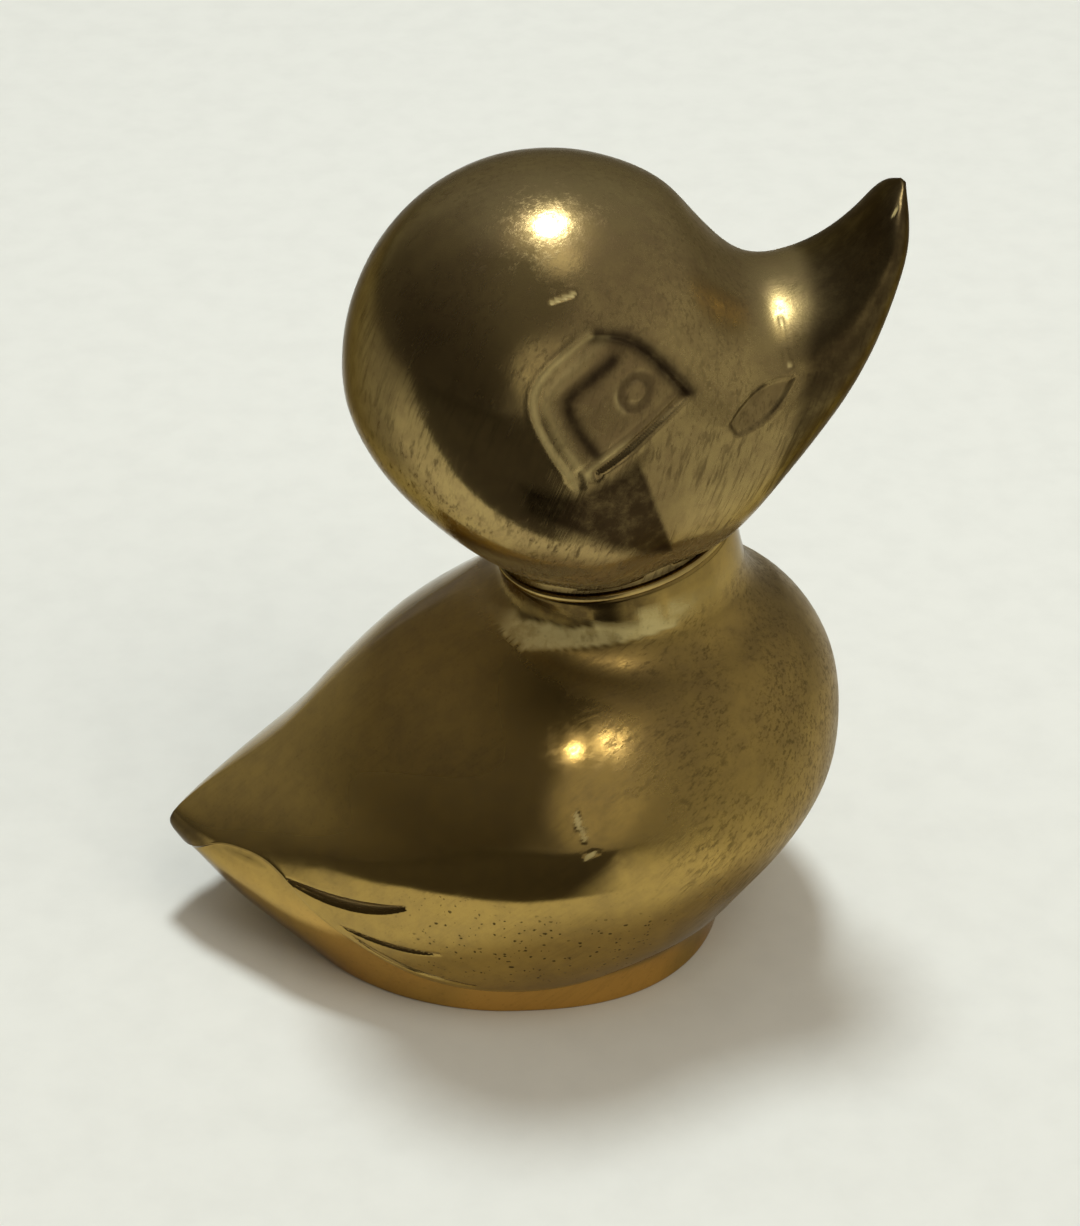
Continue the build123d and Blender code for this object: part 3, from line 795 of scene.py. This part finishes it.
def head_casting():
    """Hollow head with its bill, engraved eyes and nostrils, and the short stub over the neck."""
    points, tip = head_rows()
    shape = points.shape[:2]
    normals = grid_normals(points, False).reshape(-1, 3)
    flat = points.reshape(-1, 3)
    x, y, z = flat.T
    side_view = flat[:, [0, 2]]
    side = np.abs(y) > SIDE_START
    eye_depth, bare_and_glint, eye_shade_and_grime = eye(side_view)
    nostril_depth, nostril_shade_and_grime = nostril(side_view)
    engraved = (eye_depth + nostril_depth) * side
    # Painted shade in the eye, along the nostril and on the cheek, with some grime
    grime_and_shade = np.max([eye_shade_and_grime, nostril_shade_and_grime, painted_cheek_shade(side_view)], axis=0) * side
    knocks_and_glints = dents(flat, HEAD_DENTS_AND_GLINTS)
    pits = dents(flat, HEAD_PITS)
    depth = engraved + knocks_and_glints + pits + HEAD_UNEVEN * waves(flat, 5, 24, 5)
    depth -= cheek_ridge(side_view) * side
    bill = smooth(x - 0.20 * z, 22.0, 24.5)
    brow = smooth(z + 0.5 * x, 2, 16) * smooth(bill, 0.9, 0.1)
    drift = waves(flat, 8, 20, 6)
    masks = {
        "recess": 0.4 * engraved / EYE_DEPTH,
        "tarnish_and_shade": np.max([0.80 * bill, grime_and_shade, smooth(pits, 0.08, 0.2)], axis=0),
        # Pale scraped eye rims with painted glints, and the deeper head dents painted pale as glints
        "bare_and_glint": np.maximum(bare_and_glint * side * smooth(drift, -1.2, 0.2), smooth(knocks_and_glints, 0.03, 0.06)),
        "satin": 0.15 + 0.5 * smooth(x, 2, 14) + 0.3 * smooth(z, 2, 12),
        "brushed": 0.55 + 0.45 * smooth(z, 5, -6),
        "hazed": 0.13 + 0.36 * brow + 0.6 * smooth(z, -9.5, -13.0),
    }
    masks = {label: np.concatenate([[v[0]], v, [v[-1]]]) for label, v in masks.items()}
    points = np.concatenate([[[-HEAD_RADIUS, 0, 0]], flat - depth[:, None] * normals, [tip]]) + HEAD_CENTRE
    piece = new_piece("duck_head", points, capped_faces(*shape), masks, "head")
    add_stub(piece)
    return piece


def add_stub(piece):
    """Joins the stub over the neck to the head, cores the hollow and paints shade on a band just over the
    ring.
    """
    middle = HEAD_RISE * 0.5
    stub = [(-1.0, 0), (-1.0, NECK_RADIUS), (STUB_BASE + 0.4, NECK_RADIUS), (STUB_BASE + 1.0, NECK_RADIUS),
            (middle, NECK_RADIUS), (middle, 0)]
    joined(piece, lathe("stub", stub, 180), "UNION")
    hollow = HEAD_RADIUS - WALL - HEAD_SETBACK
    start = pi - np.arcsin(CORE_HOLE_RADIUS / hollow)
    arc = [(HEAD_RISE + hollow * cos(a), hollow * sin(a)) for a in np.linspace(start, 0, 24)[:-1]]
    core = lathe("core", [
        (-8.0, 0), (-8.0, 20.0), (STUB_BASE + 0.12, 20.0), (STUB_BASE + 0.12, NECK_RADIUS + 0.02),
        (STUB_BASE, NECK_RADIUS - 0.12), (STUB_BASE, CORE_HOLE_RADIUS), *arc, (HEAD_RISE + hollow, 0),
    ], 96)
    joined(piece, core, "DIFFERENCE")
    places = np.empty(3 * len(piece.data.vertices), np.float32)
    piece.data.vertices.foreach_get("co", places)
    height, radius, _ = neck_place(places.reshape(-1, 3) / MM)
    mask_layer = piece.data.attributes["tarnish_and_shade"].data
    values = np.empty(len(mask_layer), np.float32)
    mask_layer.foreach_get("value", values)
    # Painted shade on the stub just over the ring, under the head's lower edge
    shaded_band = smooth(height, STUB_BASE + 1.3, STUB_BASE + 0.6) * (radius < NECK_RADIUS + 2)
    mask_layer.foreach_set("value", np.maximum(values, 0.8 * shaded_band).astype(np.float32))


duck_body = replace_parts(body_casting(), "body_casting")
duck_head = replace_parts(head_casting(), "head_casting")

# Ring in the neck seam, its rim worn round
duck_ring = lathe("duck_ring", [
    (0.0, BORE_RADIUS), (0.0, RING_RADIUS - 0.2), (0.06, RING_RADIUS - 0.06), (0.2, RING_RADIUS),
    (0.6, RING_RADIUS), (0.74, RING_RADIUS - 0.06), (0.8, RING_RADIUS - 0.2), (0.8, BORE_RADIUS),
], 240, "body")
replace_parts(duck_ring, "neck_ring")


class Nodes:
    """Short way to lay out and link the nodes of one material, group or world."""

    def __init__(self, tree):
        self.tree = tree
        self.tree.nodes.clear()

    def set(self, socket, value):
        if isinstance(value, bpy.types.NodeSocket):
            self.tree.links.new(value, socket)
        else:
            socket.default_value = value

    def add(self, kind, inputs=None, **settings):
        node = self.tree.nodes.new(kind)
        for key, value in settings.items():
            setattr(node, key, value)
        for key, value in (inputs or {}).items():
            self.set(node.inputs[key], value)
        return node

    def math(self, operation, a, b=0.5, c=0.5):
        return self.add("ShaderNodeMath", {0: a, 1: b, 2: c}, operation=operation).outputs[0]

    def plus(self, a, b):
        return self.math("ADD", a, b)

    def times(self, a, b):
        return self.math("MULTIPLY", a, b)

    def weighted(self, first, *others):
        """Sum of values, each times its weight."""
        total = self.times(*first)
        for other in others:
            total = self.plus(total, self.times(*other))
        return total

    def ramp(self, value, low, high, to_low=0.0, to_high=1.0):
        node = self.add("ShaderNodeMapRange", {
            "Value": value, "From Min": low, "From Max": high, "To Min": to_low, "To Max": to_high
        }, interpolation_type="SMOOTHSTEP")
        return node.outputs["Result"]

    def mix(self, factor, a, b):
        node = self.add("ShaderNodeMix", data_type="RGBA")
        sockets = {s.identifier: s for s in node.inputs}
        for label, value in (("Factor_Float", factor), ("A_Color", a), ("B_Color", b)):
            self.set(sockets[label], value)
        return next(s for s in node.outputs if s.identifier == "Result_Color")

    def noise(self, vector, scale, detail=4.0, roughness=0.55, distortion=0.0):
        return self.add("ShaderNodeTexNoise", {
            "Vector": vector, "Scale": scale, "Detail": detail, "Roughness": roughness,
            "Distortion": distortion,
        }).outputs["Fac"]

    def bump(self, height, strength, distance):
        inputs = {"Height": height, "Strength": strength, "Distance": distance}
        return self.add("ShaderNodeBump", inputs).outputs["Normal"]

    def effect(self, tree, inputs):
        return self.add("ShaderNodeGroup", inputs, node_tree=tree).outputs

    def surface(self, inputs):
        """Main shader of a material and its output."""
        shader = self.add("ShaderNodeBsdfPrincipled", inputs)
        self.add("ShaderNodeOutputMaterial", {"Surface": shader.outputs[0]})


def new_material(name):
    """Empty material; returns it with its layout helper and the place on the piece."""
    material = bpy.data.materials.new(name)
    material.use_nodes = True
    n = Nodes(material.node_tree)
    return material, n, n.add("ShaderNodeTexCoord").outputs["Object"]


def group(name, vectors, numbers, outputs):
    """Empty shader group with named sockets; returns its tree, layout helper and input sockets."""
    tree = bpy.data.node_groups.new(name, "ShaderNodeTree")
    nodes = Nodes(tree)
    for label in vectors:
        tree.interface.new_socket(label, in_out="INPUT", socket_type="NodeSocketVector")
    for label, value in numbers.items():
        socket = tree.interface.new_socket(label, in_out="INPUT", socket_type="NodeSocketFloat")
        socket.default_value = value
    for label in outputs:
        tree.interface.new_socket(label, in_out="OUTPUT", socket_type="NodeSocketFloat")
    return tree, nodes, nodes.add("NodeGroupInput").outputs


def polishing_strokes():
    """Short strokes left by hand polishing, longer one way than the other."""
    tree, n, given = group("polishing_strokes", ["Vector", "Turn"], {"Scale": 1.0}, ["Stroke", "Height"])
    turned = n.add("ShaderNodeVectorRotate", {
        "Vector": given["Vector"], "Rotation": given["Turn"]
    }, rotation_type="EULER_XYZ").outputs[0]
    drawn = n.add("ShaderNodeMapping", {"Vector": turned, "Scale": (1.0, 1.0, 0.055)}).outputs[0]
    coarse = n.noise(drawn, n.times(given["Scale"], 1700.0), 3.0, 0.6)
    fine = n.noise(drawn, n.times(given["Scale"], 4200.0), 2.0, 0.6)
    patch = n.ramp(n.noise(given["Vector"], 120.0, 2.0), 0.28, 0.55)
    both = n.weighted((coarse, 0.62), (fine, 0.38))
    n.add("NodeGroupOutput", {"Stroke": n.times(n.ramp(both, 0.46, 0.65), patch), "Height": both})
    return tree


def casting_specks():
    """Scattered fine pits and dark specks of a cast surface."""
    tree, n, given = group("casting_specks", ["Vector"], {"Scale": 1.0, "Amount": 0.2}, ["Speck", "Height"])
    pushed = n.times(n.noise(given["Vector"], 1400.0, 2.0), 0.0009)
    moved = n.add("ShaderNodeVectorMath", {
        0: given["Vector"], 1: n.add("ShaderNodeCombineXYZ", {"X": pushed}).outputs[0]
    }, operation="ADD").outputs[0]
    cells = n.add("ShaderNodeTexVoronoi", {
        "Vector": moved, "Scale": n.times(given["Scale"], 1900.0), "Randomness": 1.0
    }, feature="F1")
    chosen = n.add("ShaderNodeSeparateColor", {"Color": cells.outputs["Color"]})
    kept = n.math("LESS_THAN", chosen.outputs[0], given["Amount"])
    size = n.ramp(chosen.outputs[1], 0.0, 1.0, 0.14, 0.42)
    near = n.math("SUBTRACT", 1.0, n.math("DIVIDE", cells.outputs["Distance"], size))
    spot = n.times(n.ramp(near, 0.0, 0.6), kept)
    n.add("NodeGroupOutput", {"Speck": spot, "Height": n.times(spot, -1.0)})
    return tree


def brown_patina():
    """Uneven browning of handled brass, deeper in what is cut in."""
    tree, n, given = group("brown_patina", ["Vector"], {"Recess": 0.0, "Scale": 1.0}, ["Patina", "Mottle"])
    broad = n.noise(given["Vector"], n.times(given["Scale"], 60.0), 3.0, 0.5, 0.4)
    mottle = n.noise(given["Vector"], n.times(given["Scale"], 480.0), 6.0, 0.68, 0.2)
    total = n.plus(n.ramp(broad, 0.35, 0.7, 0.0, 0.5), n.ramp(mottle, 0.36, 0.7, 0.0, 0.5))
    patina = n.plus(total, n.times(given["Recess"], 0.5))
    n.add("NodeGroupOutput", {"Patina": patina, "Mottle": mottle})
    return tree


STROKES = polishing_strokes()
SPECKS = casting_specks()
PATINA = brown_patina()


def shaded(colour, share):
    """The same colour, darker."""
    return tuple(share * c for c in colour[:3]) + (1,)


# Clean metal, aged metal and the tint of the grazing edge
BODY_BRASS = (0.47, 0.315, 0.085, 1), (0.335, 0.225, 0.072, 1), (0.70, 0.69, 0.68, 1)
HEAD_BRASS = (0.46, 0.34, 0.13, 1), (0.31, 0.215, 0.09, 1), (0.45, 0.40, 0.33, 1)
RING_BRASS = (0.50, 0.36, 0.13, 1), (0.36, 0.24, 0.08, 1), (0.45, 0.40, 0.33, 1)
FOOT_REFLECTION_BRASS = (0.70, 0.40, 0.10, 1)
RECESS_BROWN = (0.16, 0.11, 0.05, 1)
TARNISH_AND_SHADE_BROWN = (0.042, 0.026, 0.011, 1)
SCRAPED_AND_GLINT_BRASS = (0.62, 0.50, 0.21, 1)
SPECK_BROWN = (0.04, 0.025, 0.01, 1)
STEEL_CLEAN = (0.58, 0.58, 0.56, 1)
STEEL_AGED = (0.36, 0.34, 0.30, 1)
STEEL_SPECK = (0.20, 0.12, 0.07, 1)


def brass(name, colours, stroke_turn, stroke_share, speck_amount, polished, matt):
    """Aged, hand-polished brass with painted shade, glints and foot reflection: polished and matt are the
    roughness where it shines and where it is dull.
    """
    clean, aged, edge = colours
    material, n, place = new_material(name)

    def mask(label):
        return n.add("ShaderNodeAttribute", attribute_name=label).outputs["Fac"]

    recess, tarnish_and_shade, bare_and_glint, satin, pitted, brushed, hazed, painted_foot_reflection = map(mask, MASKS)
    strokes = n.effect(STROKES, {"Vector": place, "Turn": stroke_turn, "Scale": 1.0})
    specks = n.effect(SPECKS, {"Vector": place, "Scale": 1.0, "Amount": speck_amount})
    patina = n.effect(PATINA, {"Vector": place, "Recess": recess, "Scale": 1.0})
    mottle = patina["Mottle"]
    stroke = n.times(strokes["Stroke"], n.ramp(brushed, 0.0, 1.0, 0.1, stroke_share))
    browned = n.math("MINIMUM", n.plus(patina["Patina"], n.times(satin, 0.20)), 1.0)
    tarnish_and_shade_share = n.times(tarnish_and_shade, n.ramp(mottle, 0.2, 0.6, 0.75, 1.0))
    scraped_and_glint = n.times(bare_and_glint, n.ramp(mottle, 0.35, 0.55, 0.55, 1.0))
    speck = n.times(specks["Speck"], n.ramp(pitted, 0.0, 1.0, 0.12, 0.9))
    colour = n.mix(browned, clean, aged)
    # Painted warm reflection on the foot band
    colour = n.mix(painted_foot_reflection, colour, FOOT_REFLECTION_BRASS)
    colour = n.mix(stroke, colour, shaded(aged, 0.5))
    colour = n.mix(n.times(recess, 0.55), colour, RECESS_BROWN)
    # Real tarnish and painted shade, both in the same dark brown
    colour = n.mix(tarnish_and_shade_share, colour, TARNISH_AND_SHADE_BROWN)
    # Scraped metal and painted glints, both pale
    colour = n.mix(scraped_and_glint, colour, SCRAPED_AND_GLINT_BRASS)
    colour = n.mix(speck, colour, SPECK_BROWN)
    dull = n.weighted((satin, 0.55), (recess, 0.7), (stroke, 0.6), (bare_and_glint, 0.9), (tarnish_and_shade, 0.3))
    dull = n.plus(dull, n.ramp(mottle, 0.35, 0.8, 0.0, 0.25))
    rough = n.ramp(dull, 0.0, 1.0, polished, matt)
    height = n.weighted(
        (strokes["Height"], n.ramp(brushed, 0.0, 1.0, 0.2, 1.0)),
        (specks["Height"], pitted),
        (mottle, n.ramp(dull, 0.0, 1.0, 0.12, 0.7)),
    )
    bump = n.bump(height, 0.25, 0.00006)
    # Brown oxide and scraped metal, with the painted glints, scatter part of the light
    oxide = n.weighted((hazed, 0.50), (tarnish_and_shade, 0.06), (recess, 0.30), (scraped_and_glint, 0.45))
    metal = n.ramp(oxide, 0.0, 1.0, 1.0, 0.0)
    n.surface({
        "Base Color": colour, "Roughness": rough, "Metallic": metal, "Normal": bump, "Specular Tint": edge
    })
    return material


def plated_steel():
    """Dull plated steel of the small fittings."""
    material, n, place = new_material("plated_steel")
    specks = n.effect(SPECKS, {"Vector": place, "Scale": 1.6, "Amount": 0.25})
    patina = n.effect(PATINA, {"Vector": place, "Recess": 0.0, "Scale": 3.0})
    mottle = patina["Mottle"]
    colour = n.mix(patina["Patina"], STEEL_CLEAN, STEEL_AGED)
    colour = n.mix(n.times(specks["Speck"], 0.5), colour, STEEL_SPECK)
    rough = n.ramp(mottle, 0.3, 0.8, 0.28, 0.5)
    bump = n.bump(mottle, 0.2, 0.00004)
    n.surface({"Base Color": colour, "Roughness": rough, "Metallic": 1.0, "Normal": bump})
    return material


def dress(piece, material):
    """Gives a piece one material and no other."""
    piece.data.materials.clear()
    piece.data.materials.append(material)


dress(duck_body, brass("body_brass", BODY_BRASS, (0, -0.85, 0), 0.8, 0.55, 0.08, 0.42))
dress(duck_head, brass("head_brass", HEAD_BRASS, (0, -0.35, 0), 0.8, 0.2, 0.10, 0.42))
ring_brass = brass("ring_brass", RING_BRASS, (0, 0, 0), 0.3, 0.1, 0.22, 0.4)
for piece in (duck_ring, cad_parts["neck_plug"]):
    dress(piece, ring_brass)
steel = plated_steel()
for node in ("neck_stud", "flat_washer", "spring_washer", "stud_nut", "lock_nut"):
    dress(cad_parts[node], steel)

FLOOR_PALE = (0.82, 0.84, 0.78, 1)
FLOOR_DIM = (0.05, 0.045, 0.04, 1)
FLOOR_HALF = 3000.0


def pale_floor():
    """Plain pale floor. Seen in the metal, it is dim in front, at both ends and with distance."""
    mesh = bpy.data.meshes.new("pale_floor")
    half = FLOOR_HALF * MM
    corners = [(-half, -half, 0), (half, -half, 0), (half, half, 0), (-half, half, 0)]
    mesh.from_pydata(corners, [], [(0, 1, 2, 3)])
    piece = bpy.data.objects.new("pale_floor", mesh)
    bpy.context.scene.collection.objects.link(piece)
    material, n, place = new_material("pale_floor")
    shade = n.mix(n.ramp(n.noise(place, 180.0, 4.0), 0.3, 0.8), FLOOR_PALE, shaded(FLOOR_PALE, 0.96))
    axes = n.add("ShaderNodeSeparateXYZ", {"Vector": place}).outputs
    slant = n.math("SUBTRACT", axes["Y"], n.times(n.math("MINIMUM", axes["X"], 0.0), 0.085))
    ahead = n.plus(axes["X"], n.times(axes["Y"], 0.06))
    front = n.times(n.ramp(slant, -0.0565, -0.0600), n.ramp(ahead, 0.016, -0.010))
    right = n.times(n.ramp(axes["X"], 0.045, 0.110, 0.0, 0.42), n.ramp(axes["Y"], 0.03, -0.02))
    back = n.times(n.ramp(axes["X"], -0.035, -0.09, 0.0, 0.6), n.ramp(axes["Y"], -0.04, 0.02))
    away = n.add("ShaderNodeVectorMath", {0: place}, operation="LENGTH").outputs["Value"]
    far = n.plus(n.ramp(away, 0.07, 0.17, 0.0, 0.30), n.ramp(away, 0.15, 0.50, 0.0, 0.30))
    dim = n.math("MAXIMUM", n.math("MAXIMUM", front, far), n.math("MAXIMUM", right, back))
    mirrored = n.add("ShaderNodeLightPath").outputs["Is Glossy Ray"]
    shade = n.mix(n.times(dim, mirrored), shade, FLOOR_DIM)
    n.surface({"Base Color": shade, "Roughness": 0.9})
    piece.data.materials.append(material)
    return piece


floor = pale_floor()

CAMERA_TURN = radians(-4.213)
CAMERA_RISE = radians(34.613)
CAMERA_ROLL = radians(0.853)
CAMERA_DISTANCE = 348.394
CAMERA_SIDE = 3.5255
CAMERA_HEIGHT = 38.738
CAMERA_SHIFT = -1.5
LENS = 95.157


def pointing(rise, turn):
    """Direction at an angle above level and an angle round from the bill."""
    return Vector((cos(rise) * cos(turn), cos(rise) * sin(turn), sin(rise)))


def photo_camera():
    """Camera at the photo's viewing angle."""
    back = pointing(CAMERA_RISE, CAMERA_TURN - pi / 2)
    level = Vector((cos(CAMERA_TURN), sin(CAMERA_TURN), 0))
    upward = back.cross(level)
    right = cos(CAMERA_ROLL) * level + sin(CAMERA_ROLL) * upward
    upward = back.cross(right)
    target = Vector((CAMERA_SHIFT, 0, CAMERA_HEIGHT)) + level * CAMERA_SIDE
    camera = bpy.data.cameras.new("camera")
    camera.lens = LENS
    camera.sensor_fit = "VERTICAL"
    camera.sensor_height = 36.0
    camera.clip_start = 0.01
    viewer = bpy.data.objects.new("camera", camera)
    turned = Matrix((right, upward, back)).transposed().to_4x4()
    viewer.matrix_world = Matrix.Translation((target + back * CAMERA_DISTANCE) * MM) @ turned
    bpy.context.scene.collection.objects.link(viewer)
    bpy.context.scene.camera = viewer


photo_camera()


def lamp(name, lit, aim, rise, turn, distance, size, power, colour, mirrored):
    """Round soft lamp aimed at a place from a given direction, for one piece or, with None, for all."""
    light = bpy.data.lights.new(name, "AREA")
    light.shape = "DISK"
    light.size = size
    light.energy = power
    light.color = colour
    way = pointing(radians(rise), radians(turn))
    held = bpy.data.objects.new(name, light)
    held.location = Vector(aim) * MM + way * distance
    held.rotation_euler = way.to_track_quat("Z", "Y").to_euler()
    held.visible_glossy = mirrored
    bpy.context.scene.collection.objects.link(held)
    if lit:
        held.light_linking.receiver_collection = bpy.data.collections.new(name + "_lights")
        held.light_linking.receiver_collection.objects.link(lit)


CROWN = (1.4, -8.2, 89.0)
MIDDLE = (0, 0, 40)
GROUND = (0, 0, 0)
LEFT_SHINE = (4.4, -19.8, 34.3)
RIGHT_SHINE = (8.3, -19.5, 35.5)
COOL = (0.88, 0.95, 1.0)
WARM = (1.0, 0.92, 0.82)
SOFT_WARM = (1.0, 0.95, 0.86)
GLOW = (1.0, 0.96, 0.86)
# Name, piece it lights, aim, rise, turn, distance, size, power, colour and whether the metal mirrors it
for given in (
    ("overhead_lamp", None, CROWN, 75, 87, 1.0, 0.19, 6.2, COOL, True),
    ("head_glow", duck_head, CROWN, 82, -60, 1.0, 0.35, 0.20, GLOW, True),
    ("room_fill", floor, GROUND, 90, 0, 1.5, 2.5, 6.0, WARM, False),
    ("side_fill", floor, GROUND, 55, -45, 1.2, 0.8, 3.5, WARM, False),
    ("shadow_lamp", floor, GROUND, 75, 87, 1.0, 0.25, 0.7, WARM, False),
    ("head_fill", duck_head, MIDDLE, 8, -105, 1.0, 0.5, 3.6, WARM, False),
    ("body_fill", duck_body, MIDDLE, 8, -105, 1.0, 0.5, 0.5, WARM, False),
    ("front_lamp_left", duck_body, LEFT_SHINE, 35, -112, 1.2, 0.05, 0.70, SOFT_WARM, True),
    ("front_lamp_right", duck_body, RIGHT_SHINE, 39, -97, 1.2, 0.05, 0.70, SOFT_WARM, True),
):
    lamp(*given)


ROOM_DIM = (0.15, 0.13, 0.11, 1)


def surroundings():
    """Even dim room; in the metal it is lighter to the right, overhead and low in front, dark to the left."""
    world = bpy.data.worlds.new("surroundings")
    bpy.context.scene.world = world
    world.use_nodes = True
    n = Nodes(world.node_tree)
    way = n.add("ShaderNodeTexCoord").outputs["Generated"]

    def towards(rise, turn):
        aim = pointing(radians(rise), radians(turn))
        return n.add("ShaderNodeVectorMath", {0: way, 1: aim}, operation="DOT_PRODUCT").outputs["Value"]

    shade = n.mix(n.ramp(towards(0, -50), -0.6, 0.7), (0.21, 0.22, 0.25, 1), (0.29, 0.28, 0.26, 1))
    # Rise and turn of each lighter or darker patch, where it starts and is full, and its colour
    for rise, turn, start, full, colour in (
        (4, -15, 0.70, 0.98, (0.42, 0.41, 0.37, 1)),
        (80, 87, 0.90, 0.99, (0.62, 0.60, 0.54, 1)),
        (20, 158, 0.72, 0.97, (0.07, 0.065, 0.06, 1)),
        (28, -152, 0.56, 0.84, (0.045, 0.040, 0.036, 1)),
        (60, -118, 0.84, 0.97, (0.055, 0.05, 0.045, 1)),
        (20, -96, 0.92, 0.99, (0.56, 0.54, 0.48, 1)),
    ):
        shade = n.mix(n.ramp(towards(rise, turn), start, full), shade, colour)
    shade = n.mix(n.add("ShaderNodeLightPath").outputs["Is Glossy Ray"], ROOM_DIM, shade)
    n.add("ShaderNodeOutputWorld", {"Surface": n.add("ShaderNodeBackground", {"Color": shade}).outputs[0]})


surroundings()
bpy.context.scene.view_settings.view_transform = "Standard"
